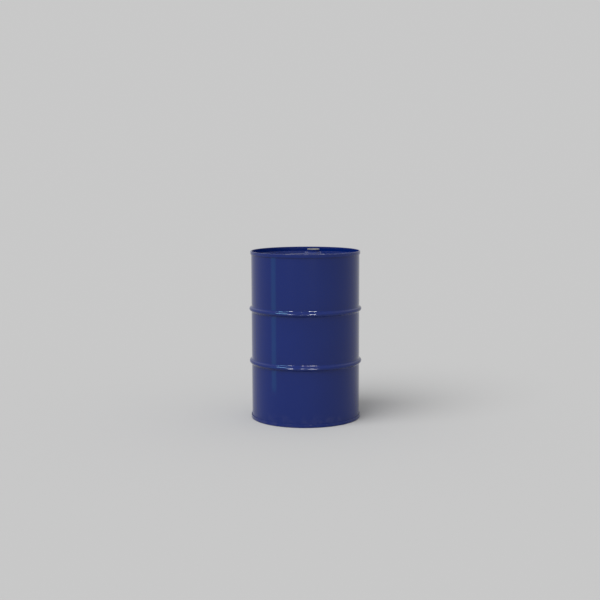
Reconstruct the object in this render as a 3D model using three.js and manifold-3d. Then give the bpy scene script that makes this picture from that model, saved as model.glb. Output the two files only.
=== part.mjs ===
// A 208-litre (55 US gallon) tight-head steel drum. A rolled shell with two rolling hoops is closed by a
// pressed head at each end. Each head is folded round the shell's flange into a double seam, the chime, on a
// ring of sealing compound. The top head carries a 2-inch bung and a 3/4-inch vent. Each has a threaded
// flange gripped by a collar of the head, a gasket, a screw plug and the plug's own gasket.
//
// Millimetres, +Z up. The origin is on the drum's axis, in the plane that the drum stands on.
// +Y points from the axis to the 2-inch bung.

import * as THREE from "three";
import { mergeVertices } from "three/addons/utils/BufferGeometryUtils.js";
import Module from "manifold-3d";

const wasm = await Module();
wasm.setup();

// ---- Driving dimensions ----

const DRUM_HEIGHT = 892;
const SHELL_BORE = 571.5;
const SHEET = 1.2; // thickness of the shell and of both heads
const GAP = 0.3; // between pieces that touch
const ROUND_SIDES = 40; // sides of everything turned round the drum's axis
const OVERLAP = 1; // how far joined solids run into each other, and cutters past the faces they cut

const HOOP = {
  diameter: 597,
  spacing: 279, // between the two crests
  crestRadius: 10, // of the sheet's middle line
  footRadius: 8,
  flank: THREE.MathUtils.degToRad(60), // the flank's lean from the wall
  grooveDepth: 0.8, // how far the wall leans in to each foot
  grooveWidth: 14,
};

const SEAM = {
  layer: SHEET + GAP, // from the middle of one fold to the middle of the next
  topBend: 1.8, // radius at the chime's edges
  hookStart: 5.3, // depth of the shell's fold, from the chime's edge
  hookEnd: 15.0,
  foldDepth: 15.5, // depth of the head's lower fold
};

const HEAD = {
  recess: 25, // from the chime's edge to the panel
  groove: 3, // how much lower the ring round the panel lies
  panelRadius: 268,
  grooveRadius: 274,
  corner: 6,
};

// Both closures have the same build. Heights are measured up from the head's panel.
const BUNG = {
  prefix: "bung",
  size: "2in",
  offset: 215, // from the drum's axis
  direction: 1, // along +Y
  sides: 24,
  footRadius: 47,
  platformRadius: 43.5,
  baseAcross: 80, // the flange's octagonal base, across flats
  neckRadius: 33.5,
  boreRadius: 29,
  curlRadius: 31,
  shankRadius: 28.5,
  capRadius: 34,
  cupRadius: 25.2,
  lugReach: 9,
  lugWidth: 8,
};
const VENT = {
  prefix: "vent",
  size: "3_4in",
  offset: 228,
  direction: -1,
  sides: 20,
  footRadius: 29,
  platformRadius: 26,
  baseAcross: 46,
  neckRadius: 17.4,
  boreRadius: 13.3,
  curlRadius: 15.2,
  shankRadius: 12.7,
  capRadius: 18,
  cupRadius: 9.8,
  lugReach: 3,
  lugWidth: 5,
};
const CLOSURE = {
  platform: 4, // rise of the raised seat
  collar: 13, // rise of the collar's curled rim
  baseThickness: 3,
  gasket: 1.6,
  capThickness: 3,
  shankLength: 19,
  floor: 2.5,
  chamfer: 1, // on the cap's rim
  lugDrop: 3, // from the cap's top to the lugs
  gasketInset: 0.5, // of both gaskets, from the edges they follow
};

// ---- Derived places ----

const WALL = SHELL_BORE / 2 + SHEET / 2; // middle of the shell's wall
const CHUCK_WALL = WALL - SEAM.layer; // the head's wall inside the shell
const HEAD_HOOK = WALL + SEAM.layer;
const SHELL_HOOK = WALL + 2 * SEAM.layer;
const SEAMING_WALL = WALL + 3 * SEAM.layer; // the chime's outer wall
const PANEL_TOP = DRUM_HEIGHT - HEAD.recess;

// ---- Materials ----

const bluePaint = new THREE.MeshStandardMaterial({ color: 0x27326e, roughness: 0.3, metalness: 0.0 });
const zincSteel = new THREE.MeshStandardMaterial({ color: 0xb9bcc2, roughness: 0.35, metalness: 1.0 });
const rubber = new THREE.MeshStandardMaterial({ color: 0x1b1b1d, roughness: 0.8, metalness: 0.0 });
const compound = new THREE.MeshStandardMaterial({ color: 0x7d6a4a, roughness: 0.7, metalness: 0.0 });

// ---- Shape helpers ----

const at = (radius, height) => new THREE.Vector2(radius, height);

// Points on an arc round (radius, height). Angles are in degrees, 0 pointing away from the drum's axis.
function arc(radius, height, bend, from, to, steps) {
  return Array.from({ length: steps + 1 }, (_, i) => {
    const angle = THREE.MathUtils.degToRad(from + ((to - from) * i) / steps);
    return at(radius + bend * Math.cos(angle), height + bend * Math.sin(angle));
  });
}

// The two faces of a sheet whose middle line runs through the given points, as one outline.
function sheetOutline(middle) {
  const faces = [[], []];
  middle.forEach((point, i) => {
    const before = middle[i - 1] ?? point.clone().multiplyScalar(2).sub(middle[i + 1]);
    const after = middle[i + 1] ?? point.clone().multiplyScalar(2).sub(middle[i - 1]);
    const incoming = point.clone().sub(before).normalize();
    const outgoing = after.clone().sub(point).normalize();
    const normal = at(-incoming.y - outgoing.y, incoming.x + outgoing.x).normalize();
    const reach = SHEET / 2 / normal.dot(at(-incoming.y, incoming.x));
    faces[0].push(point.clone().addScaledVector(normal, reach));
    faces[1].push(point.clone().addScaledVector(normal, -reach));
  });
  return [...faces[0], ...faces[1].reverse()];
}

// Turns an outline round the Z axis. An outline with no point on the axis is closed into a ring.
function turned(outline, sides) {
  const points = THREE.ShapeUtils.isClockWise(outline) ? [...outline].reverse() : [...outline];
  const start = points.findIndex((p) => p.x === 0);
  if (start < 0) points.push(points[0].clone());
  else while (!(points[0].x === 0 && points.at(-1).x === 0)) points.push(points.shift());
  return new THREE.LatheGeometry(points, sides).rotateX(Math.PI / 2);
}

// A ring of rectangular section round the Z axis.
function ring(inner, outer, low, high, sides) {
  return turned([at(inner, low), at(outer, low), at(outer, high), at(inner, high)], sides);
}

// A solid disc or prism round the Z axis.
function disc(radius, low, high, sides) {
  return turned([at(0, low), at(radius, low), at(radius, high), at(0, high)], sides);
}

function solidOf(geometry) {
  const bare = geometry.clone().deleteAttribute("normal").deleteAttribute("uv");
  const merged = mergeVertices(bare, 1e-4);
  return new wasm.Manifold(
    new wasm.Mesh({
      numProp: 3,
      vertProperties: merged.attributes.position.array,
      triVerts: new Uint32Array(merged.index.array),
    }),
  );
}

function geometryOf(solid) {
  const { vertProperties, triVerts } = solid.getMesh();
  const geometry = new THREE.BufferGeometry()
    .setAttribute("position", new THREE.BufferAttribute(vertProperties, 3))
    .setIndex(new THREE.BufferAttribute(triVerts, 1));
  geometry.computeVertexNormals();
  return geometry;
}

function piece(name, geometry, material) {
  const mesh = new THREE.Mesh(geometry, material);
  mesh.name = name;
  return mesh;
}

// ---- Shell ----

// One rolling hoop's middle line, upwards, with the shallow groove that rolling leaves on each side of it.
function hoopLine(centre) {
  const crest = HOOP.diameter / 2 - SHEET / 2;
  const foot = WALL - HOOP.grooveDepth;
  const bends = HOOP.crestRadius + HOOP.footRadius;
  const straight = crest - foot - bends * (1 - Math.cos(HOOP.flank));
  const reach = bends * Math.sin(HOOP.flank) + straight / Math.tan(HOOP.flank);
  const lean = THREE.MathUtils.radToDeg(HOOP.flank);
  return [
    at(WALL, centre - reach - HOOP.grooveWidth),
    ...arc(foot + HOOP.footRadius, centre - reach, HOOP.footRadius, 180, 180 - lean, 2),
    ...arc(crest - HOOP.crestRadius, centre, HOOP.crestRadius, -lean, lean, 4),
    ...arc(foot + HOOP.footRadius, centre + reach, HOOP.footRadius, 180 + lean, 180, 2),
    at(WALL, centre + reach + HOOP.grooveWidth),
  ];
}

function shell() {
  const bend = (SHELL_HOOK - WALL) / 2;
  const fold = WALL + bend;
  return turned(
    sheetOutline([
      at(SHELL_HOOK, SEAM.hookEnd),
      ...arc(fold, SEAM.hookStart, bend, 0, -180, 4),
      ...hoopLine((DRUM_HEIGHT - HOOP.spacing) / 2),
      ...hoopLine((DRUM_HEIGHT + HOOP.spacing) / 2),
      ...arc(fold, DRUM_HEIGHT - SEAM.hookStart, bend, 180, 0, 4),
      at(SHELL_HOOK, DRUM_HEIGHT - SEAM.hookEnd),
    ]),
    ROUND_SIDES,
  );
}

// ---- Heads ----

// A plain head for the drum's top: the panel, its groove, the wall inside the shell, and the chime's folds.
function plainHead() {
  const panel = PANEL_TOP - SHEET / 2;
  const floor = panel - HEAD.groove;
  const shoulder = DRUM_HEIGHT - SHEET / 2 - SEAM.topBend;
  const fold = DRUM_HEIGHT - SEAM.foldDepth;
  return turned(
    sheetOutline([
      at(0, panel),
      at(HEAD.panelRadius, panel),
      at(HEAD.grooveRadius, floor),
      ...arc(CHUCK_WALL - HEAD.corner, floor + HEAD.corner, HEAD.corner, -90, 0, 3),
      ...arc(CHUCK_WALL + SEAM.topBend, shoulder, SEAM.topBend, 180, 90, 2),
      ...arc(SEAMING_WALL - SEAM.topBend, shoulder, SEAM.topBend, 90, 0, 2),
      ...arc((SEAMING_WALL + HEAD_HOOK) / 2, fold, (SEAMING_WALL - HEAD_HOOK) / 2, 0, -180, 4),
      at(HEAD_HOOK, DRUM_HEIGHT - SEAM.hookStart),
    ]),
    ROUND_SIDES,
  );
}

// The raised seat that holds a closure: a platform, and a collar curled in over the flange's neck.
function seat(closure) {
  const collar = closure.neckRadius + GAP + SHEET / 2;
  const middle = (rise) => PANEL_TOP + rise - SHEET / 2;
  return turned(
    sheetOutline([
      at(closure.footRadius + OVERLAP, middle(0)),
      at(closure.footRadius, middle(0)),
      at(closure.platformRadius, middle(CLOSURE.platform)),
      at(collar, middle(CLOSURE.platform)),
      at(collar, middle(CLOSURE.collar)),
      at(closure.curlRadius, middle(CLOSURE.collar)),
    ]),
    closure.sides,
  );
}

function topHead() {
  const panel = [PANEL_TOP - 2 * SHEET, PANEL_TOP + SHEET];
  return geometryOf(
    [BUNG, VENT].reduce((head, closure) => {
      const place = [0, closure.direction * closure.offset, 0];
      const hole = solidOf(disc(closure.footRadius, ...panel, closure.sides)).translate(place);
      return head.subtract(hole).add(solidOf(seat(closure)).translate(place));
    }, solidOf(plainHead())),
  );
}

// The top head's plain form, turned over.
function bottomHead() {
  return plainHead().rotateX(Math.PI).translate(0, 0, DRUM_HEIGHT);
}

// The compound fills the chime between the head's top fold and the shell's.
function seamCompound() {
  const shellFold = DRUM_HEIGHT - SEAM.hookStart + (SHELL_HOOK - WALL) / 2 + SHEET / 2;
  return ring(WALL, SHELL_HOOK, shellFold + GAP, DRUM_HEIGHT - SHEET - GAP, ROUND_SIDES);
}

// ---- Closures ----

// The heights of one closure's pieces, all above the drum's base.
function levels() {
  const baseTop = PANEL_TOP + CLOSURE.platform - SHEET - GAP - CLOSURE.gasket - GAP;
  const collarTop = PANEL_TOP + CLOSURE.collar;
  const capBase = collarTop + GAP + CLOSURE.gasket + GAP;
  return {
    baseTop,
    baseBottom: baseTop - CLOSURE.baseThickness,
    neckTop: collarTop - SHEET - GAP,
    collarTop,
    capBase,
    capTop: capBase + CLOSURE.capThickness,
    shankEnd: capBase - CLOSURE.shankLength,
  };
}

// The threaded flange: an octagonal base that can't turn under the head, and a neck inside the collar.
function flange(closure) {
  const { baseBottom, baseTop, neckTop } = levels();
  const corner = closure.baseAcross / 2 / Math.cos(Math.PI / 8);
  const base = disc(corner, baseBottom, baseTop, 8).rotateZ(Math.PI / 8);
  const neck = disc(closure.neckRadius, baseBottom + OVERLAP, neckTop, closure.sides);
  const bore = disc(closure.boreRadius, baseBottom - OVERLAP, neckTop + OVERLAP, closure.sides);
  return geometryOf(solidOf(base).add(solidOf(neck)).subtract(solidOf(bore)));
}

function flangeGasket(closure) {
  const low = levels().baseTop + GAP;
  const inner = closure.neckRadius + CLOSURE.gasketInset;
  const outer = closure.baseAcross / 2 - CLOSURE.gasketInset;
  return ring(inner, outer, low, low + CLOSURE.gasket, closure.sides);
}

// The screw plug: a cap, a hollow shank, and four lugs inside it for a bung wrench.
function plug(closure) {
  const { shankEnd, capBase, capTop } = levels();
  const floor = shankEnd + CLOSURE.floor;
  const lugTop = capTop - CLOSURE.lugDrop;
  const cup = turned(
    [
      at(0, shankEnd),
      at(closure.shankRadius, shankEnd),
      at(closure.shankRadius, capBase),
      at(closure.capRadius, capBase),
      at(closure.capRadius, capTop - CLOSURE.chamfer),
      at(closure.capRadius - CLOSURE.chamfer, capTop),
      at(closure.cupRadius, capTop),
      at(closure.cupRadius, floor),
      at(0, floor),
    ],
    closure.sides,
  );
  const height = lugTop - floor + OVERLAP;
  const lug = new THREE.BoxGeometry(closure.lugReach + OVERLAP, closure.lugWidth, height);
  lug.translate(closure.cupRadius - (closure.lugReach - OVERLAP) / 2, 0, lugTop - height / 2);
  const lugs = [0, 1, 2, 3].map((quarter) => solidOf(lug.clone().rotateZ((quarter * Math.PI) / 2)));
  return geometryOf(lugs.reduce((made, one) => made.add(one), solidOf(cup)));
}

function plugGasket(closure) {
  const low = levels().collarTop + GAP;
  const inner = closure.shankRadius + CLOSURE.gasketInset;
  const outer = closure.capRadius - CLOSURE.gasketInset;
  return ring(inner, outer, low, low + CLOSURE.gasket, closure.sides);
}

function closureGroup(closure) {
  const group = new THREE.Group();
  group.position.y = closure.direction * closure.offset;
  const { prefix, size } = closure;
  group.add(
    piece(`${prefix}_flange_${size}`, flange(closure), zincSteel),
    piece(`${prefix}_flange_gasket`, flangeGasket(closure), rubber),
    piece(`${prefix}_plug_${size}`, plug(closure), zincSteel),
    piece(`${prefix}_plug_gasket`, plugGasket(closure), rubber),
  );
  return group;
}

// ---- Assembly ----

const drum = new THREE.Group();
drum.add(
  piece("body_shell", shell(), bluePaint),
  piece("top_head", topHead(), bluePaint),
  piece("bottom_head", bottomHead(), bluePaint),
  piece("top_seam_compound", seamCompound(), compound),
  piece("bottom_seam_compound", seamCompound().rotateX(Math.PI).translate(0, 0, DRUM_HEIGHT), compound),
  closureGroup(BUNG),
  closureGroup(VENT),
);

export default drum;
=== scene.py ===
"""A blue 208-litre tight-head steel drum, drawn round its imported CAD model.

Metres, +Z up, in the model's own frame: the drum's axis is Z, it stands on z = 0, and the 2-inch bung is
towards +Y. The outer sizes come from the frame, and the sheet's own bends and details are named here.
"""

import math

import bmesh
import bpy
from mathutils import Matrix, Vector, geometry, noise

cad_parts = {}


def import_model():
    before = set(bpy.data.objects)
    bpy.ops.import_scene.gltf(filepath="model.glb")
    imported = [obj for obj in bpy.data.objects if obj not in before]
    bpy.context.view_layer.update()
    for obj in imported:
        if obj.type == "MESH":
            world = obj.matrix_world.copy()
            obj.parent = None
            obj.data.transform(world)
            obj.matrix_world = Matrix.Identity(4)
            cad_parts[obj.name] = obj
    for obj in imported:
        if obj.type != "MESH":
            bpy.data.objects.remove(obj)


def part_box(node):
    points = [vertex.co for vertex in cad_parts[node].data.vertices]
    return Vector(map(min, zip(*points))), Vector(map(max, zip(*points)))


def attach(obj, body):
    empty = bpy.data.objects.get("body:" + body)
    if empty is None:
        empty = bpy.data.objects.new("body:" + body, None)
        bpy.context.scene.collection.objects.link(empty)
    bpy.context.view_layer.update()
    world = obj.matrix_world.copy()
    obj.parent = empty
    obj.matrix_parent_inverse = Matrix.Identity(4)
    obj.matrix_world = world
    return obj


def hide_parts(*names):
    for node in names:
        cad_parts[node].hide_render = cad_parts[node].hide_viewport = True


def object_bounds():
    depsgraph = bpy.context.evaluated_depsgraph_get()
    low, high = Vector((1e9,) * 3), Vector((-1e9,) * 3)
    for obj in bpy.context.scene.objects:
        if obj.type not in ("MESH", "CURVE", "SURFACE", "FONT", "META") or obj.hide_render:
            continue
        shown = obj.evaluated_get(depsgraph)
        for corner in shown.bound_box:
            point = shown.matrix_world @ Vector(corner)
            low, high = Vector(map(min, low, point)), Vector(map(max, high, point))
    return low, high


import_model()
cad_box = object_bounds()

MM = 0.001

# ---- Sizes from the frame ----

HEIGHT = cad_box[1].z
CHIME_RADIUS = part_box("top_head")[1].x
HOOP_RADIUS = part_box("body_shell")[1].x
FOLD_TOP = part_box("body_shell")[1].z

# ---- The chimes: radii of the middles of the folded sheets, from the outside in ----

SHEET = 1.2 * MM
LAYER = 1.5 * MM  # from the middle of one fold to the middle of the next
SEAMING_WALL = CHIME_RADIUS - SHEET / 2
SHELL_HOOK = SEAMING_WALL - LAYER
HEAD_HOOK = SEAMING_WALL - 2 * LAYER
WALL = SEAMING_WALL - 3 * LAYER
CHUCK_WALL = WALL - LAYER

HEAD_HOOK_END = 5.3 * MM  # depths below the chime's edge
SHELL_HOOK_END = 15.0 * MM
FOLD_DEPTH = 17.0 * MM
TOP_BEND = 1.8 * MM

# ---- The heads ----

RECESS = 25.0 * MM  # from the chime's edge to the head's panel
PANEL = HEIGHT - RECESS - SHEET / 2  # the panel's middle
PANEL_RADIUS = 268.0 * MM
PANEL_BEND = 5.0 * MM
GROOVE_DEPTH = 3.0 * MM
GROOVE_RADIUS = 274.0 * MM
GROOVE_BEND = 4.0 * MM
CORNER_BEND = 6.0 * MM

BEAD_SLOPE = 4  # the width of a bead's side over its rise
BEAD_FOOT_BEND = 7.0 * MM
BEAD_TOP_BEND = 5.0 * MM
TOP_BEAD = (120 * MM, 16 * MM, 0.6 * MM)  # radius, width and rise
BOTTOM_BEADS = [(95 * MM, 14 * MM, 2 * MM), (180 * MM, 14 * MM, 2 * MM)]

DISC_RADIUS = 150.0 * MM  # the turned middle of the top head
PLATE_RADIUS = PANEL_RADIUS - 2.0 * MM  # the outer edge of the plate round it

# ---- The shell ----

HOOP_SPACING = 279.0 * MM
HOOP_CREST_BEND = 10.0 * MM
HOOP_FOOT_BEND = 8.0 * MM
HOOP_FLANK = math.radians(60)
HOOP_GROOVE_DEPTH = 0.8 * MM
HOOP_GROOVE_WIDTH = 14.0 * MM
HOOP_GROOVE_BEND = 60.0 * MM

WELD_ANGLE = math.radians(148)
WELD_HALF_WIDTH = 3.6 * MM
WELD_RISE = 0.45 * MM
WELD_SQUARENESS = 6
WELD_COLUMNS = (0.4, 0.75, 0.9, 1, 1.1, 1.25, 1.5, 2)  # beside its middle, in half widths

WAVE_RISE = 0.22 * MM
WAVES_PER_METRE = 9
WAVE_SQUEEZE = 0.8  # how many waves there are up the wall for each one round it
RELIEF_START = 20.0 * MM  # where the waves and the weld start, from each end
RELIEF_EASE = 25.0 * MM  # and how long they take to reach their full height

# ---- How finely the meshes are drawn ----

COLUMNS = 288  # round the drum
SHELL_STEP = 18.0 * MM
HEAD_STEP = 14.0 * MM
PLATE_STEP = 9.0 * MM
SEAT_STEP = 3.0 * MM
FLANGE_STEP = 4.0 * MM
WELL_STEP = 2.0 * MM
BEND_STEP = math.radians(10)
SHARP_EDGE = math.radians(35)
SAME_POINT = 1e-6


# ---- Outlines: lists of (radius, height, weight). The weight says how much of a relief a point takes. ----

def clamped(value):
    """The value, held between 0 and 1."""
    return min(1.0, max(0.0, value))


def bent(corners):
    """The line of weight 0 along (radius, height, bend) corners, each rounded to its bend."""
    points = []
    for i, (radius, height, bend) in enumerate(corners):
        here = Vector((radius, height))
        if not bend:
            points.append((radius, height, 0.0))
            continue
        back = (Vector(corners[i - 1][:2]) - here).normalized()
        onward = (Vector(corners[(i + 1) % len(corners)][:2]) - here).normalized()
        turn = math.pi - back.angle(onward)
        centre = here + (back + onward).normalized() * (bend / math.cos(turn / 2))
        spoke = here + back * (bend * math.tan(turn / 2)) - centre
        side = math.copysign(1, back.x * onward.y - back.y * onward.x)
        count = max(2, round(turn / BEND_STEP))
        for k in range(count + 1):
            point = centre + Matrix.Rotation(-side * turn * k / count, 2) @ spoke
            points.append((point.x, point.y, 0.0))
    return [p for i, p in enumerate(points) if not i or math.dist(p, points[i - 1]) > SAME_POINT]


def offset(middle, distance):
    """The line that runs beside a middle line, to its left, with the corners mitred."""
    beside = []
    for i, (radius, height, weight) in enumerate(middle):
        here = Vector((radius, height))
        before = Vector(middle[i - 1][:2]) if i else 2 * here - Vector(middle[1][:2])
        after = Vector(middle[i + 1][:2]) if i + 1 < len(middle) else 2 * here - before
        incoming = (here - before).normalized()
        outgoing = (after - here).normalized()
        left = Vector((-incoming.y, incoming.x))
        mitre = (left + Vector((-outgoing.y, outgoing.x))).normalized()
        point = here + mitre * (distance / mitre.dot(left))
        beside.append((point.x, point.y, weight))
    return beside


def filled(line, longest):
    """The line with points added along its straights, so that no step is longer than that."""
    points = [line[0]]
    for start, end in zip(line, line[1:]):
        count = max(1, math.ceil(math.dist(start[:2], end[:2]) / longest))
        for k in range(1, count + 1):
            points.append(tuple(a + (b - a) * k / count for a, b in zip(start, end)))
    return points


def raised(line, rise):
    """The line moved up."""
    return [(radius, height + rise, weight) for radius, height, weight in line]


def mirrored(line):
    """The line turned over about the drum's middle height."""
    return [(radius, HEIGHT - height, weight) for radius, height, weight in line]


def ring_section(inner, outer, low, high, bend):
    """The outline of a flat ring with rounded edges."""
    return bent([(inner, low, bend), (outer, low, bend), (outer, high, bend), (inner, high, bend)])


# ---- Meshes ----

def around(count, extra=()):
    """Angles evenly round the circle, with some extra ones."""
    even = [2 * math.pi * k / count for k in range(count)]
    return sorted({round(angle, 9) for angle in (*even, *extra)})


def turned(line, angles, relief=None, centre=(0.0, 0.0), closed=False, tag=0):
    """(vertices, faces, tags) of a line turned round the upright through centre.

    A tag is the place of the face's material in the piece's list.
    """
    vertices, rows, faces = [], [], []
    for radius, height, weight in line:
        if radius == 0:
            rows.append([len(vertices)] * len(angles))
            vertices.append((*centre, height))
            continue
        rows.append(range(len(vertices), len(vertices) + len(angles)))
        for angle in angles:
            r = relief(radius, height, angle, weight) if relief else radius
            vertices.append((centre[0] + r * math.cos(angle), centre[1] + r * math.sin(angle), height))
    pairs = list(zip(rows, rows[1:])) + ([(rows[-1], rows[0])] if closed else [])
    for low, high in pairs:
        for k in range(len(angles)):
            n = (k + 1) % len(angles)
            corners = [low[k], low[n], high[n], high[k]]
            faces.append([c for j, c in enumerate(corners) if c not in corners[:j]])
    return vertices, faces, [tag] * len(faces)


def sheet(middle, angles, relief=None, centre=(0.0, 0.0), closed=True, tags=(0, 1)):
    """The parts of a sheet turned from its middle line. tags are those of its left and right faces."""
    left = offset(middle, SHEET / 2)
    right = offset(middle, -SHEET / 2)[::-1]
    parts = [
        turned(left, angles, relief, centre, tag=tags[0]),
        turned([left[-1], right[0]], angles, relief, centre, tag=tags[0]),
        turned(right, angles, relief, centre, tag=tags[1]),
    ]
    if closed:
        parts.append(turned([right[-1], left[0]], angles, relief, centre, tag=tags[0]))
    return parts


def scene_object(name, data):
    """A new object in the scene."""
    made = bpy.data.objects.new(name, data)
    bpy.context.scene.collection.objects.link(made)
    return made


def piece(name, parts, body, nodes, materials):
    """One closed, smooth-shaded object from parts that share their edges."""
    vertices, faces, tags = [], [], []
    for part_vertices, part_faces, part_tags in parts:
        start = len(vertices)
        vertices += part_vertices
        faces += [[start + v for v in face] for face in part_faces]
        tags += part_tags
    mesh = bpy.data.meshes.new(name)
    mesh.from_pydata(vertices, [], faces)
    mesh.polygons.foreach_set("material_index", tags)
    work = bmesh.new()
    work.from_mesh(mesh)
    bmesh.ops.remove_doubles(work, verts=work.verts, dist=SAME_POINT)
    bmesh.ops.recalc_face_normals(work, faces=work.faces)
    open_edges = sum(not edge.is_manifold for edge in work.edges)
    if open_edges:
        raise ValueError(f"{name} has {open_edges} open edges")
    work.to_mesh(mesh)
    work.free()
    mesh.shade_smooth()
    mesh.set_sharp_from_angle(angle=SHARP_EDGE)
    for material in materials:
        mesh.materials.append(material)
    made = scene_object(name, mesh)
    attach(made, body)
    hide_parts(*nodes)
    return made


# ---- Node trees ----

class Nodes:
    """A short way to write one material's node tree."""

    def __init__(self, name):
        self.material = bpy.data.materials.new(name)
        self.material.use_nodes = True
        self.tree = self.material.node_tree
        self.shader = self.tree.nodes["Principled BSDF"]
        self.place = self.tree.nodes.new("ShaderNodeTexCoord").outputs["Object"]

    def put(self, value, socket):
        """Links the value to the socket, or sets it there. A colour gets an alpha of 1."""
        if isinstance(value, bpy.types.NodeSocket):
            self.tree.links.new(value, socket)
        elif isinstance(value, tuple) and len(value) == 3:
            socket.default_value = (*value, 1)
        else:
            socket.default_value = value

    def calc(self, operation, a, b=0.0, c=0.0):
        node = self.tree.nodes.new("ShaderNodeMath")
        node.operation = operation
        for value, socket in zip((a, b, c), node.inputs):
            self.put(value, socket)
        return node.outputs[0]

    def times(self, a, b):
        return self.calc("MULTIPLY", a, b)

    def grown(self, start, value, share):
        """start + value * share."""
        return self.calc("MULTIPLY_ADD", value, share, start)

    def noise(self, feature, detail=2.0, squeeze=(1, 1, 1), roughness=0.5):
        """Noise from 0 to 1, its blotches about one feature across, and finer by the squeeze on each axis."""
        mapping = self.tree.nodes.new("ShaderNodeMapping")
        self.put(self.place, mapping.inputs["Vector"])
        mapping.inputs["Scale"].default_value = squeeze
        node = self.tree.nodes.new("ShaderNodeTexNoise")
        self.put(mapping.outputs[0], node.inputs["Vector"])
        node.inputs["Scale"].default_value = 1 / feature
        node.inputs["Detail"].default_value = detail
        node.inputs["Roughness"].default_value = roughness
        return node.outputs["Fac"]

    def ramp(self, value, low, high):
        """0 where the value is at low, 1 where it is at high, and eased between them."""
        node = self.tree.nodes.new("ShaderNodeMapRange")
        node.interpolation_type = "SMOOTHSTEP"
        for item, socket in zip((value, low, high), node.inputs):
            self.put(item, socket)
        return node.outputs[0]

    def mix(self, share, a, b):
        """A colour between a and b."""
        node = self.tree.nodes.new("ShaderNodeMix")
        node.data_type = "RGBA"
        self.put(share, node.inputs["Factor"])
        self.put(a, node.inputs["A"])
        self.put(b, node.inputs["B"])
        return node.outputs["Result"]

    def axes(self, vector):
        """(x, y, z) of a vector."""
        node = self.tree.nodes.new("ShaderNodeSeparateXYZ")
        self.put(vector, node.inputs[0])
        return node.outputs

    def height(self):
        return self.axes(self.place)[2]

    def radius(self):
        """The distance from the drum's axis."""
        x, y, _ = self.axes(self.place)
        return self.calc("SQRT", self.calc("ADD", self.times(x, x), self.times(y, y)))

    def upward(self):
        """1 on a face that looks up, 0 on a wall, -1 on an underside."""
        return self.axes(self.tree.nodes.new("ShaderNodeTexCoord").outputs["Normal"])[2]

    def bump(self, height, distance, strength=1.0, under=None):
        """The normal of a surface raised by height times distance, on top of another bump."""
        node = self.tree.nodes.new("ShaderNodeBump")
        node.inputs["Strength"].default_value = strength
        node.inputs["Distance"].default_value = distance
        self.put(height, node.inputs["Height"])
        if under is not None:
            self.put(under, node.inputs["Normal"])
        return node.outputs[0]

    def finish(self, **inputs):
        """Sets the shader's inputs, named with _ for a space, and returns the material."""
        for name, value in inputs.items():
            self.put(value, self.shader.inputs[name.replace("_", " ")])
        return self.material


# ---- Materials ----

DEEP_BLUE = (0.0010, 0.0120, 0.118)
CLEAR_BLUE = (0.0014, 0.0150, 0.142)
RUBBED_BLUE = (0.06, 0.10, 0.30)
SCUFFED_BLUE = (0.10, 0.14, 0.32)
PALE_DUST = (0.36, 0.34, 0.31)
FLOOR_DUST = (0.34, 0.31, 0.27)
WORN_STEEL = (0.36, 0.35, 0.34)
RUST = (0.15, 0.085, 0.05)
ENAMEL_IOR = 1.43
LOW_WEAR = 150 * MM  # the height up to which the drum chips more
LOW_DUST = 80 * MM  # the height up to which the floor's dust clings

LIGHT_STEEL = (0.42, 0.41, 0.40)
DARK_STEEL = (0.27, 0.25, 0.235)
OIL_STAIN = (0.20, 0.115, 0.07)

BLUE_ZINC = (0.55, 0.565, 0.59)
STRAW_ZINC = (0.59, 0.575, 0.52)
ZINC_BLOOM = (0.53, 0.53, 0.52)

BLACK_RUBBER = (0.012, 0.012, 0.013)
GREY_RUBBER = (0.050, 0.049, 0.047)

DARK_TAN = (0.17, 0.115, 0.055)
LIGHT_TAN = (0.27, 0.19, 0.10)


def rubbed_places(n):
    """1 where a drum rubs, over the last millimetre of the hoops' crests and the chimes' sides and ends."""
    radius = n.radius()
    from_middle = n.calc("ABSOLUTE", n.calc("SUBTRACT", n.height(), HEIGHT / 2))
    crest = n.ramp(radius, HOOP_RADIUS - 1.2 * MM, HOOP_RADIUS - 0.1 * MM)
    near_end = n.ramp(from_middle, HEIGHT / 2 - 20 * MM, HEIGHT / 2 - 16 * MM)
    chime_side = n.times(n.ramp(radius, CHIME_RADIUS - 0.5 * MM, CHIME_RADIUS), near_end)
    chime_end = n.ramp(from_middle, HEIGHT / 2 - 0.9 * MM, HEIGHT / 2 - 0.1 * MM)
    return n.calc("MAXIMUM", crest, n.calc("MAXIMUM", chime_side, chime_end))


def wear(n):
    """(chips, rubbed, specks): bare chips and rubbed enamel, in streaks along the way the drum rolls."""
    places = rubbed_places(n)
    streaks = n.noise(26 * MM, 4.0, (1, 1, 9), 0.62)
    specks = n.noise(5 * MM, 3.0)
    low = n.ramp(n.height(), LOW_WEAR, 0.0)
    start = n.grown(0.92, low, -0.08)
    chips = n.times(places, n.ramp(n.grown(streaks, specks, 0.35), start, n.calc("ADD", start, 0.05)))
    rubbed = n.times(places, n.ramp(streaks, 0.50, 0.70))
    return chips, rubbed, specks


def scuffs(n):
    """Hairlines round the walls, in patches."""
    patches = n.ramp(n.noise(90 * MM, 6.0, (1, 1, 7), 0.7), 0.60, 0.72)
    hairlines = n.ramp(n.noise(9 * MM, 3.0, (1, 1, 30), 0.6), 0.66, 0.74)
    return n.times(patches, hairlines)


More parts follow.
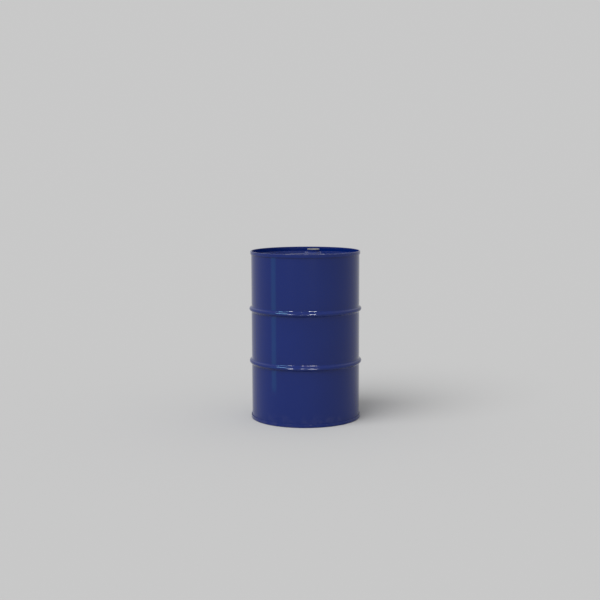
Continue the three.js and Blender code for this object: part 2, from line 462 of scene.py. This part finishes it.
def enamel():
    """Glossy dark blue enamel with orange peel, faint scuffs, dust, and small chips where it rubs."""
    n = Nodes("blue_enamel")
    chips, rubbed, specks = wear(n)
    scuffed = scuffs(n)
    settled = n.grown(0.15, n.noise(60 * MM, 5.0, roughness=0.6), 0.55)
    dust = n.times(n.ramp(n.upward(), 0.55, 0.98), settled)
    low_dust = n.times(n.ramp(n.height(), LOW_DUST, 0.0), n.ramp(n.noise(35 * MM, 4.0), 0.40, 0.80))

    colour = n.mix(n.noise(220 * MM, 3.0), DEEP_BLUE, CLEAR_BLUE)
    roughness = n.grown(0.07, n.noise(140 * MM, 4.0), 0.05)
    for mask, tint, tint_share, roughening in (
        (rubbed, RUBBED_BLUE, 0.08, 0.05),
        (scuffed, SCUFFED_BLUE, 0.07, 0.12),
        (dust, PALE_DUST, 0.10, 0.02),
        (low_dust, FLOOR_DUST, 0.06, 0.12),
        (chips, n.mix(n.ramp(specks, 0.45, 0.65), WORN_STEEL, RUST), 1.0, 0.25),
    ):
        colour = n.mix(n.times(mask, tint_share), colour, tint)
        roughness = n.grown(roughness, mask, roughening)

    peel = n.bump(n.noise(3.5 * MM, 1.0), 0.03 * MM, 0.35)
    return n.finish(
        Base_Color=colour,
        Roughness=roughness,
        Metallic=n.times(chips, 0.8),
        Normal=n.bump(n.times(chips, -1.0), 0.05 * MM, 0.8, under=peel),
        IOR=ENAMEL_IOR,
    )


def bare_steel():
    """The unpainted inside: grey sheet steel under a thin film of oil."""
    n = Nodes("bare_steel")
    blotches = n.noise(70 * MM, 5.0, roughness=0.6)
    colour = n.mix(n.ramp(blotches, 0.35, 0.7), LIGHT_STEEL, DARK_STEEL)
    colour = n.mix(n.ramp(n.noise(12 * MM, 4.0), 0.66, 0.76), colour, OIL_STAIN)
    return n.finish(
        Base_Color=colour,
        Metallic=0.9,
        Roughness=n.grown(0.28, blotches, 0.25),
        Normal=n.bump(n.noise(1.4 * MM, 2.0, (1, 1, 6)), 0.03 * MM, 0.5),
    )


def zinc():
    """Bright zinc plating on pressed steel: faint blue and straw clouds, fine scratches and white bloom."""
    n = Nodes("zinc_plate")
    clouds = n.noise(14 * MM, 3.0)
    bloom = n.ramp(n.noise(3.5 * MM, 5.0, roughness=0.65), 0.60, 0.72)
    scratches = n.noise(2.2 * MM, 3.0, (1, 9, 1), 0.7)
    colour = n.mix(n.ramp(clouds, 0.35, 0.65), BLUE_ZINC, STRAW_ZINC)
    colour = n.mix(n.times(bloom, 0.35), colour, ZINC_BLOOM)
    roughness = n.grown(0.27, clouds, 0.12)
    roughness = n.grown(roughness, n.ramp(scratches, 0.58, 0.70), 0.12)
    roughness = n.grown(roughness, bloom, 0.18)
    grain = n.bump(n.noise(0.55 * MM, 2.0), 0.012 * MM, 0.5)
    return n.finish(
        Base_Color=colour,
        Metallic=n.grown(1.0, bloom, -0.35),
        Roughness=roughness,
        Normal=n.bump(scratches, 0.015 * MM, 0.4, under=grain),
    )


def rubber():
    """Matte black synthetic rubber with a grey bloom."""
    n = Nodes("gasket_rubber")
    bloom = n.noise(6 * MM, 5.0, roughness=0.6)
    return n.finish(
        Base_Color=n.mix(n.ramp(bloom, 0.40, 0.75), BLACK_RUBBER, GREY_RUBBER),
        Roughness=n.grown(0.60, bloom, 0.2),
        Normal=n.bump(n.noise(0.5 * MM, 3.0), 0.03 * MM, 0.5),
    )


def compound():
    """Tan sealing compound, a little lumpy."""
    n = Nodes("seam_compound")
    lumps = n.noise(2.5 * MM, 4.0)
    return n.finish(
        Base_Color=n.mix(lumps, DARK_TAN, LIGHT_TAN),
        Roughness=n.grown(0.5, lumps, 0.25),
        Normal=n.bump(lumps, 0.1 * MM, 0.6),
    )


ENAMEL = enamel()
STEEL = bare_steel()
ZINC = zinc()
RUBBER = rubber()
COMPOUND = compound()


# ---- The shell ----

def hoop(centre):
    """The corners of one rolling hoop, upwards, with the shallow groove on each side of it."""
    foot = WALL - HOOP_GROOVE_DEPTH
    peak = HOOP_RADIUS - SHEET / 2 + HOOP_CREST_BEND * (1 / math.cos(HOOP_FLANK) - 1)
    reach = (peak - foot) / math.tan(HOOP_FLANK)
    groove_reach = reach + HOOP_FOOT_BEND * math.tan(HOOP_FLANK / 2) + HOOP_GROOVE_WIDTH
    return [
        (WALL, centre - groove_reach, HOOP_GROOVE_BEND),
        (foot, centre - reach, HOOP_FOOT_BEND),
        (peak, centre, HOOP_CREST_BEND),
        (foot, centre + reach, HOOP_FOOT_BEND),
        (WALL, centre + groove_reach, HOOP_GROOVE_BEND),
    ]


def shell_line():
    """The shell's middle line, from its hook in the bottom chime to its hook in the top one."""
    fold = FOLD_TOP - SHEET / 2
    half_layer = (SHELL_HOOK - WALL) / 2
    top = [(WALL, fold, half_layer), (SHELL_HOOK, fold, half_layer), (SHELL_HOOK, HEIGHT - SHELL_HOOK_END, 0)]
    bottom = [(radius, HEIGHT - height, bend) for radius, height, bend in top[::-1]]
    lower = hoop((HEIGHT - HOOP_SPACING) / 2)
    upper = hoop((HEIGHT + HOOP_SPACING) / 2)
    line = filled(bent(bottom + lower + upper + top), SHELL_STEP)
    return [(r, z, clamped((min(z, HEIGHT - z) - RELIEF_START) / RELIEF_EASE)) for r, z, _ in line]


def shell_relief(radius, height, angle, weight):
    """The slight waves of rolled sheet, and the side seam's weld standing a little proud."""
    place = Vector((math.cos(angle) * WALL, math.sin(angle) * WALL, height * WAVE_SQUEEZE))
    waves = noise.noise(place * WAVES_PER_METRE) * WAVE_RISE
    away = (angle - WELD_ANGLE) * WALL / WELD_HALF_WIDTH
    weld = WELD_RISE * math.exp(-(away ** WELD_SQUARENESS)) if abs(away) < max(WELD_COLUMNS) else 0.0
    return radius + weight * (waves + weld)


def shell():
    across_weld = [0, *WELD_COLUMNS, *(-step for step in WELD_COLUMNS)]
    columns = around(COLUMNS, [WELD_ANGLE + step * WELD_HALF_WIDTH / WALL for step in across_weld])
    parts = sheet(shell_line(), columns, shell_relief, tags=(1, 0))
    return piece("shell", parts, "drum", ["body_shell"], [ENAMEL, STEEL])


SHELL = shell()


# ---- The heads ----

def octagon(angle, sharpness=22):
    """A rounded octagon's radius over that of its inscribed circle."""
    near = [max(0.0, math.cos(angle - k * math.pi / 4)) for k in range(8)]
    return sum(c ** sharpness for c in near) ** (-1 / sharpness)


def octagon_relief(radius, _height, angle, weight):
    """A circle at weight 0, an octagon round it at weight 1."""
    return radius * (1 + weight * (octagon(angle) - 1))


def rim():
    """The corners of a head's middle line, from the edge of the flat panel out to the end of its hook."""
    floor = PANEL - GROOVE_DEPTH
    top = HEIGHT - SHEET / 2
    fold = HEIGHT - FOLD_DEPTH
    half_layer = (SEAMING_WALL - HEAD_HOOK) / 2
    return [
        (PANEL_RADIUS, PANEL, PANEL_BEND),
        (GROOVE_RADIUS, floor, GROOVE_BEND),
        (CHUCK_WALL, floor, CORNER_BEND),
        (CHUCK_WALL, top, TOP_BEND),
        (SEAMING_WALL, top, TOP_BEND),
        (SEAMING_WALL, fold, half_layer),
        (HEAD_HOOK, fold, half_layer),
        (HEAD_HOOK, HEIGHT - HEAD_HOOK_END, 0),
    ]


def bead(radius, width, rise):
    """The corners of a raised ring pressed into the panel."""
    slope = BEAD_SLOPE * rise
    return [
        (radius - width / 2 - slope, PANEL, BEAD_FOOT_BEND),
        (radius - width / 2, PANEL + rise, BEAD_TOP_BEND),
        (radius + width / 2, PANEL + rise, BEAD_TOP_BEND),
        (radius + width / 2 + slope, PANEL, BEAD_FOOT_BEND),
    ]


def bottom_head():
    beads = [corner for sizes in BOTTOM_BEADS for corner in bead(*sizes)]
    line = filled(bent([(0, PANEL, 0), *beads, *rim()]), HEAD_STEP)
    parts = sheet(mirrored(line), around(COLUMNS), tags=(1, 0), closed=False)
    return piece("bottom_head_pressing", parts, "drum", ["bottom_head"], [ENAMEL, STEEL])


bottom_head()


# ---- The closures' sizes ----

SEAT_RISE = 4.0 * MM
SEAT_MARGIN = 3.0 * MM  # the flat ring drawn with a seat, outside its foot
SEAT_BEND = 2.5 * MM
SEAT_CORNER = 2.0 * MM  # how far the seat's circle reaches out from the collar before it turns octagonal
COLLAR_GAP = 0.3 * MM  # between the collar and the flange's neck, and under the plug's gasket
COLLAR_FOOT_BEND = 1.6 * MM
COLLAR_TOP_BEND = 1.3 * MM

BASE_THICKNESS = 3.0 * MM
BASE_EDGE = 3.0 * MM  # the width of the base's octagonal edge
FLANGE_BEND = 0.8 * MM
BORE_START = 0.5 * MM  # where the thread starts, from each end of the flange

CAP_THICKNESS = 3.0 * MM
CAP_UNDER_BEND = 0.9 * MM
CAP_TOP_BEND = 1.5 * MM
CUP_LIP_BEND = 1.2 * MM
SHANK_END_BEND = 0.7 * MM
SHANK_NECK_BEND = 0.5 * MM
PLAIN_END = 1.5 * MM  # the shank's plain length at its end
PLAIN_NECK = 2.0 * MM  # and below the cap
SHANK_THREAD_START = 1.6 * MM  # above the shank's end
SHANK_THREAD_END = 2.2 * MM  # below the cap

CUP_FLOOR_THICKNESS = 2.5 * MM
CUP_FLOOR_BEND = 2.0 * MM
DIMPLE_DEPTH = 0.6 * MM  # of the round dimple in the cup's floor
DIMPLE_BEND = 1.0 * MM
DIMPLE_SHARES = (0.55, 0.45)  # its rim and its foot, in cup radii

LUG_DROP = 3.0 * MM  # from the cap's top to the tops of the lugs
LUG_SQUARENESS = 8
LEDGE_ROWS = 8  # over the tops of the lugs
LEDGE_RISE = 1.2 * MM  # from the lugs' tops to the round wall above them
LEDGE_SLOPE = 0.1 * MM  # the share of that rise which is a straight slope
LUG_EDGE = 0.4 * MM  # from the lugs' tops to their full section

THREADED = 2.0  # a weight of this or more marks a threaded wall, and the rest of it is the thread's depth
THREAD_ROWS = 14  # to one pitch
THREAD_FADE = 1.2 * MM
THREAD_FLAT = 0.14  # of the thread's half pitch, at its root and at its crest
THREAD_CLEARANCE = 0.25 * MM
ROOT_CLEARANCE = 0.3 * MM
INCH = 25.4 * MM

SEAL_BEND = 0.65 * MM
NECK_SEAL_GAP = 0.5 * MM
SHANK_SEAL_GAP = 0.4 * MM
COMPOUND_BEND = 0.4 * MM


class Closure:
    """One closure's sizes: those that the frame shows, and its own details."""

    def __init__(self, prefix, size, columns, threads_per_inch, **details):
        self.prefix, self.columns, self.pitch = prefix, around(columns), INCH / threads_per_inch
        self.plug_node = f"{prefix}_plug_{size}"
        self.flange_node = f"{prefix}_flange_{size}"
        low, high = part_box(self.plug_node)
        self.centre = ((low.x + high.x) / 2, (low.y + high.y) / 2)
        self.plug_end, self.cap_top = low.z, high.z
        self.cap_radius = (high.x - low.x) / 2
        base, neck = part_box(self.flange_node)
        self.base_bottom, self.neck_top = base.z, neck.z
        self.base_apothem = (neck.x - base.x) / 2
        self.plug_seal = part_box(f"{prefix}_plug_gasket")
        self.__dict__.update(details)
        self.foot = self.seat_top + self.seat_slope


BUNG = Closure(
    "bung", "2in", columns=160, threads_per_inch=11.5,
    thread_radius=28.9 * MM, thread_depth=1.25 * MM, neck_radius=33.5 * MM, cup_radius=25.2 * MM,
    lug_reach=8.0 * MM, lug_width=8.5 * MM, curl_radius=31.0 * MM, seat_top=42.2 * MM, seat_slope=4.2 * MM,
)
VENT = Closure(
    "vent", "3_4in", columns=112, threads_per_inch=14,
    thread_radius=13.1 * MM, thread_depth=0.95 * MM, neck_radius=17.4 * MM, cup_radius=9.8 * MM,
    lug_reach=2.8 * MM, lug_width=4.4 * MM, curl_radius=15.2 * MM, seat_top=24.6 * MM, seat_slope=3.8 * MM,
)


# ---- The top head ----

def seat_edge(closure, angle):
    """How far the edge that the seat shares with the plate is from the closure's middle."""
    return (closure.foot + SEAT_MARGIN) * octagon(angle)


def seat(closure):
    """The parts of the head round a closure: an octagonal seat and a collar curled over the flange's neck."""
    top = PANEL + SEAT_RISE
    collar = closure.neck_radius + COLLAR_GAP + SHEET / 2
    curl_top = closure.plug_seal[0].z - COLLAR_GAP - SHEET / 2
    corners = [
        (closure.foot + SEAT_MARGIN, PANEL, 0),
        (closure.foot, PANEL, SEAT_BEND),
        (closure.seat_top, top, SEAT_BEND),
        (collar, top, COLLAR_FOOT_BEND),
        (collar, curl_top, COLLAR_TOP_BEND),
        (closure.curl_radius, curl_top, 0),
    ]
    round_to = collar + SEAT_CORNER
    octagonal_from = closure.seat_top - SEAT_BEND
    line = [
        (r, z, clamped((r - round_to) / (octagonal_from - round_to)))
        for r, z, _ in filled(bent(corners), SEAT_STEP)
    ]
    return sheet(line, closure.columns, octagon_relief, closure.centre, closed=False, tags=(1, 0))


def in_plate(point, closures, margin):
    """Whether a point lies between the disc and the rim, outside all seats and this far from every edge."""
    if not DISC_RADIUS + margin < point.length < PLATE_RADIUS - margin:
        return False
    for closure in closures:
        away = point - Vector(closure.centre)
        if away.length < seat_edge(closure, math.atan2(away.y, away.x)) + margin:
            return False
    return True


def plate_loops(closures):
    """The loops of points that bound the plate: the disc, the rim and the closures' seats."""
    angles = around(COLUMNS)
    loops = [
        [Vector((radius * math.cos(a), radius * math.sin(a))) for a in angles]
        for radius in (DISC_RADIUS, PLATE_RADIUS)
    ]
    for closure in closures:
        loops.append([
            Vector(closure.centre) + seat_edge(closure, a) * Vector((math.cos(a), math.sin(a)))
            for a in closure.columns
        ])
    return loops


def plate(closures):
    """The flat parts of the top head's panel between its inner disc, its rim and the closures' seats."""
    points, edges = [], []
    for loop in plate_loops(closures):
        start = len(points)
        points += loop
        edges += [(start + k, start + (k + 1) % len(loop)) for k in range(len(loop))]
    for ring in range(1, int((PLATE_RADIUS - DISC_RADIUS) / PLATE_STEP)):
        radius = DISC_RADIUS + ring * PLATE_STEP
        count = int(2 * math.pi * radius / PLATE_STEP)
        for k in range(count):
            angle = 2 * math.pi * (k + ring % 2 / 2) / count
            point = Vector((radius * math.cos(angle), radius * math.sin(angle)))
            if in_plate(point, closures, PLATE_STEP / 2):
                points.append(point)
    flat, _, triangles, *_ = geometry.delaunay_2d_cdt(points, edges, [], 0, SAME_POINT / 10)
    middles = [sum((flat[v] for v in triangle), Vector((0, 0))) / 3 for triangle in triangles]
    kept = [triangle for triangle, middle in zip(triangles, middles) if in_plate(middle, closures, 0)]
    used = sorted({v for triangle in kept for v in triangle})
    place = {v: k for k, v in enumerate(used)}
    faces = [[place[v] for v in triangle] for triangle in kept]
    return [
        ([(flat[v].x, flat[v].y, height) for v in used], faces, [tag] * len(faces))
        for height, tag in ((PANEL + SHEET / 2, 0), (PANEL - SHEET / 2, 1))
    ]


def top_head():
    columns = around(COLUMNS)
    disc = filled(bent([(0, PANEL, 0), *bead(*TOP_BEAD), (DISC_RADIUS, PANEL, 0)]), HEAD_STEP)
    parts = [
        turned(raised(disc, SHEET / 2), columns, tag=0),
        turned(raised(disc, -SHEET / 2), columns, tag=1),
    ]
    parts += plate((BUNG, VENT))
    parts += sheet(bent([(PLATE_RADIUS, PANEL, 0), *rim()]), columns, closed=False)
    parts += seat(BUNG) + seat(VENT)
    return piece("top_head_pressing", parts, "drum", ["top_head"], [ENAMEL, STEEL])


top_head()


# ---- The sealing rings ----

def compound_ring(name, node):
    """A ring of sealing compound inside a chime."""
    low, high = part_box(node)
    outline = ring_section(WALL, SHELL_HOOK, low.z, high.z, COMPOUND_BEND)
    parts = [turned(outline, around(COLUMNS), closed=True)]
    return piece(name, parts, "drum", [node], [COMPOUND])


def seal(closure, node, inner, body):
    """A flat rubber ring with rounded edges."""
    low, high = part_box(node)
    outline = ring_section(inner, (high.x - low.x) / 2, low.z, high.z, SEAL_BEND)
    parts = [turned(outline, closure.columns, centre=closure.centre, closed=True)]
    return piece(node.replace("gasket", "seal"), parts, body, [node], [RUBBER])


compound_ring("top_compound_ring", "top_seam_compound")
compound_ring("bottom_compound_ring", "bottom_seam_compound")


# ---- The flanges and plugs ----

def thread(closure, height, angle):
    """0 at the inner edge of the right-hand thread's section, 1 at its outer edge."""
    turn = (height / closure.pitch - angle / (2 * math.pi)) % 1.0
    ridge = 1 - abs(2 * turn - 1)
    return clamped((ridge - THREAD_FLAT) / (1 - 2 * THREAD_FLAT))


def thread_rows(closure, start, end, radius):
    """Rows up a threaded wall, whose thread fades out towards both ends."""
    count = math.ceil((end - start) / closure.pitch * THREAD_ROWS)
    rows = []
    for k in range(count + 1):
        height = start + (end - start) * k / count
        depth = clamped(min(height - start, end - height) / THREAD_FADE)
        rows.append((radius, height, THREADED + depth))
    return rows


def flange(closure):
    """The threaded flange: an octagonal base under the head, and a neck with the thread inside."""
    base_top = closure.base_bottom + BASE_THICKNESS
    mouth = closure.thread_radius + closure.thread_depth + ROOT_CLEARANCE
    outside = bent([
        (mouth, closure.base_bottom, 0),
        (closure.base_apothem, closure.base_bottom, FLANGE_BEND),
        (closure.base_apothem, base_top, FLANGE_BEND),
        (closure.neck_radius, base_top, FLANGE_BEND),
        (closure.neck_radius, closure.neck_top, FLANGE_BEND),
        (mouth, closure.neck_top, 0),
    ])
    octagonal_from = closure.base_apothem - BASE_EDGE
    outside = [(r, z, 1.0 if r > octagonal_from else 0.0) for r, z, _ in filled(outside, FLANGE_STEP)]
    thread_start = closure.base_bottom + BORE_START
    thread_end = closure.neck_top - BORE_START
    bore = thread_rows(closure, thread_start, thread_end, closure.thread_radius)

    def relief(radius, height, angle, weight):
        if weight < THREADED:
            return octagon_relief(radius, height, angle, weight)
        cut = 1 - (weight - THREADED) * (1 - thread(closure, height, angle))
        return radius + closure.thread_depth * cut

    parts = [turned(outside + bore[::-1], closure.columns, relief, closure.centre, closed=True)]
    name = f"{closure.prefix}_threaded_flange"
    return piece(name, parts, "drum", [closure.flange_node], [ZINC])


def cup(closure):
    """Rows down into the plug's cup. Below 0, the weight says how much of the lugs a row takes."""
    lug_top = closure.cap_top - LUG_DROP
    floor = closure.plug_end + CUP_FLOOR_THICKNESS
    rim_share, foot_share = DIMPLE_SHARES
    ledge = []
    for k in range(LEDGE_ROWS + 1):
        share = k / LEDGE_ROWS
        rise = (LEDGE_RISE - LEDGE_SLOPE) * (1 - share) ** 2 + LEDGE_SLOPE * (1 - share)
        ledge.append((closure.cup_radius, lug_top + rise, -(share * share * (3 - 2 * share))))
    well = bent([
        (closure.cup_radius, lug_top - LUG_EDGE, 0),
        (closure.cup_radius, floor, CUP_FLOOR_BEND),
        (rim_share * closure.cup_radius, floor, DIMPLE_BEND),
        (foot_share * closure.cup_radius, floor - DIMPLE_DEPTH, DIMPLE_BEND),
        (0, floor - DIMPLE_DEPTH, 0),
    ])
    return ledge + [(r, z, -1.0) for r, z, _ in filled(well, WELL_STEP)]


def plug(closure):
    """The screw plug: a threaded cup with a rolled cap, and four lugs pressed into the cup for the wrench."""
    cap_base = closure.cap_top - CAP_THICKNESS
    root = closure.thread_radius - THREAD_CLEARANCE
    end = bent([
        (0, closure.plug_end, 0),
        (root, closure.plug_end, SHANK_END_BEND),
        (root, closure.plug_end + PLAIN_END, 0),
    ])
    shank = thread_rows(closure, closure.plug_end + SHANK_THREAD_START, cap_base - SHANK_THREAD_END, root)
    cap = bent([
        (root, cap_base - PLAIN_NECK, 0),
        (root, cap_base, SHANK_NECK_BEND),
        (closure.cap_radius, cap_base, CAP_UNDER_BEND),
        (closure.cap_radius, closure.cap_top, CAP_TOP_BEND),
        (closure.cup_radius, closure.cap_top, CUP_LIP_BEND),
        (closure.cup_radius, closure.cap_top - LUG_DROP + LEDGE_RISE, 0),
    ])
    lug_half = closure.lug_width / 2 / (closure.cup_radius - closure.lug_reach / 2)  # an angle

    def relief(radius, height, angle, weight):
        if weight >= THREADED:
            return radius + (weight - THREADED) * closure.thread_depth * thread(closure, height, angle)
        if weight >= 0.0:
            return radius
        from_lug = (angle + math.pi / 4) % (math.pi / 2) - math.pi / 4
        lug = 1 / (1 + (from_lug / lug_half) ** LUG_SQUARENESS)
        return radius * (1 + weight * lug * closure.lug_reach / closure.cup_radius)

    parts = [turned(end + shank + cap + cup(closure), closure.columns, relief, closure.centre)]
    body = f"{closure.prefix}_plug"
    return piece(f"{body}_body", parts, body, [closure.plug_node], [ZINC])


for each in (BUNG, VENT):
    seal(each, f"{each.prefix}_flange_gasket", each.neck_radius + NECK_SEAL_GAP, "drum")
    seal(each, f"{each.prefix}_plug_gasket", each.thread_radius + SHANK_SEAL_GAP, f"{each.prefix}_lift")
    flange(each)
    plug(each)


# ---- Camera ----

CAMERA_AZIMUTH = math.radians(12)  # of the camera's place, from -Y towards +X
CAMERA_DISTANCE = 5.864  # from the drum's axis
CAMERA_HEIGHT = 1.332
CAMERA_PITCH = math.radians(-6.85)
CAMERA_YAW = math.radians(0.28)
CAMERA_ROLL = math.radians(0.2)
FOCAL_LENGTH = 66.54  # mm, on a 36 mm sensor


def from_axis(azimuth, distance, height):
    """A place this far from the drum's axis, its azimuth counted from the camera's, to the camera's right."""
    angle = CAMERA_AZIMUTH + azimuth
    return Vector((distance * math.sin(angle), -distance * math.cos(angle), height))


def camera():
    data = bpy.data.cameras.new("camera")
    data.sensor_width = 36
    data.lens = FOCAL_LENGTH
    made = scene_object("camera", data)
    turn = Matrix.Rotation(CAMERA_AZIMUTH + CAMERA_YAW, 4, "Z")
    tilt = Matrix.Rotation(math.pi / 2 + CAMERA_PITCH, 4, "X")
    roll = Matrix.Rotation(-CAMERA_ROLL, 4, "Z")
    made.matrix_world = Matrix.Translation(from_axis(0, CAMERA_DISTANCE, CAMERA_HEIGHT)) @ turn @ tilt @ roll
    bpy.context.scene.camera = made


camera()


# ---- Light ----

SKY = 0.58  # the brightness of the whole background
FLOOR_SHADE = 0.50  # how much light the floor gives back
SUN_ELEVATION = math.radians(52)
SUN_AZIMUTH = math.radians(-42)
SUN_WIDTH = math.radians(50)
WHITE = (1.0, 1.0, 1.0)
CYAN = (0.10, 0.90, 1.0)
PALE_CYAN = (0.35, 0.82, 1.0)


def world():
    made = bpy.data.worlds.new("studio")
    made.use_nodes = True
    back = made.node_tree.nodes["Background"]
    back.inputs["Color"].default_value = (*WHITE, 1)
    back.inputs["Strength"].default_value = SKY
    bpy.context.scene.world = made


def sun():
    """One wide soft light, as strong as brings the floor to the background's brightness."""
    data = bpy.data.lights.new("soft_sun", "SUN")
    data.angle = SUN_WIDTH
    data.energy = math.pi * SKY * (1 / FLOOR_SHADE - 1) / math.sin(SUN_ELEVATION)
    made = scene_object("soft_sun", data)
    towards = from_axis(SUN_AZIMUTH, math.cos(SUN_ELEVATION), math.sin(SUN_ELEVATION))
    made.rotation_euler = towards.to_track_quat("Z", "Y").to_euler()
    made.visible_glossy = False


def hoop_lamp(name, azimuth, distance, height, size, brightness, colour=WHITE):
    """A lamp of (width, height) aimed at the drum's middle, which shows only as a reflection in the shell."""
    data = bpy.data.lights.new(name, "AREA")
    data.shape = "RECTANGLE"
    data.size, data.size_y = size
    data.energy = brightness * math.pi * size[0] * size[1]
    data.color = colour
    made = scene_object(name, data)
    made.location = from_axis(math.radians(azimuth), distance, height)
    aim = Vector((0, 0, HEIGHT / 2)) - made.location
    made.rotation_euler = aim.to_track_quat("-Z", "Y").to_euler()
    made.visible_camera = False
    made.visible_diffuse = False
    lit = bpy.data.collections.new(name)
    lit.objects.link(SHELL)
    made.light_linking.receiver_collection = lit


world()
sun()
hoop_lamp("left_strip", azimuth=-62.5, distance=1.15, height=0.45, size=(0.2, 0.9), brightness=0.5,
          colour=CYAN)
hoop_lamp("high_lamp", azimuth=-60, distance=4, height=4.6, size=(2.4, 0.7), brightness=34, colour=PALE_CYAN)
hoop_lamp("left_lamp", azimuth=-30, distance=7, height=1.9, size=(1.3, 0.6), brightness=110)
hoop_lamp("centre_lamp", azimuth=-6, distance=7, height=1.9, size=(0.6, 0.6), brightness=90)
hoop_lamp("right_lamp", azimuth=14, distance=7, height=1.9, size=(2.0, 0.6), brightness=110)


# ---- Floor ----

FLOOR_REACH = 400.0
FLOOR_DROP = 0.4 * MM  # below the bottom chime, so that the two don't share a plane


def floor():
    """A wide plain pale floor."""
    sides = ((-1, -1), (1, -1), (1, 1), (-1, 1))
    corners = [(x * FLOOR_REACH, y * FLOOR_REACH, -FLOOR_DROP) for x, y in sides]
    mesh = bpy.data.meshes.new("floor")
    mesh.from_pydata(corners, [], [(0, 1, 2, 3)])
    shade = (FLOOR_SHADE, FLOOR_SHADE, FLOOR_SHADE)
    mesh.materials.append(Nodes("pale_floor").finish(Base_Color=shade, Roughness=0.9, Specular_IOR_Level=0.0))
    made = scene_object("floor", mesh)


floor()

bpy.context.scene.view_settings.view_transform = "Standard"
bpy.context.scene.view_settings.look = "None"
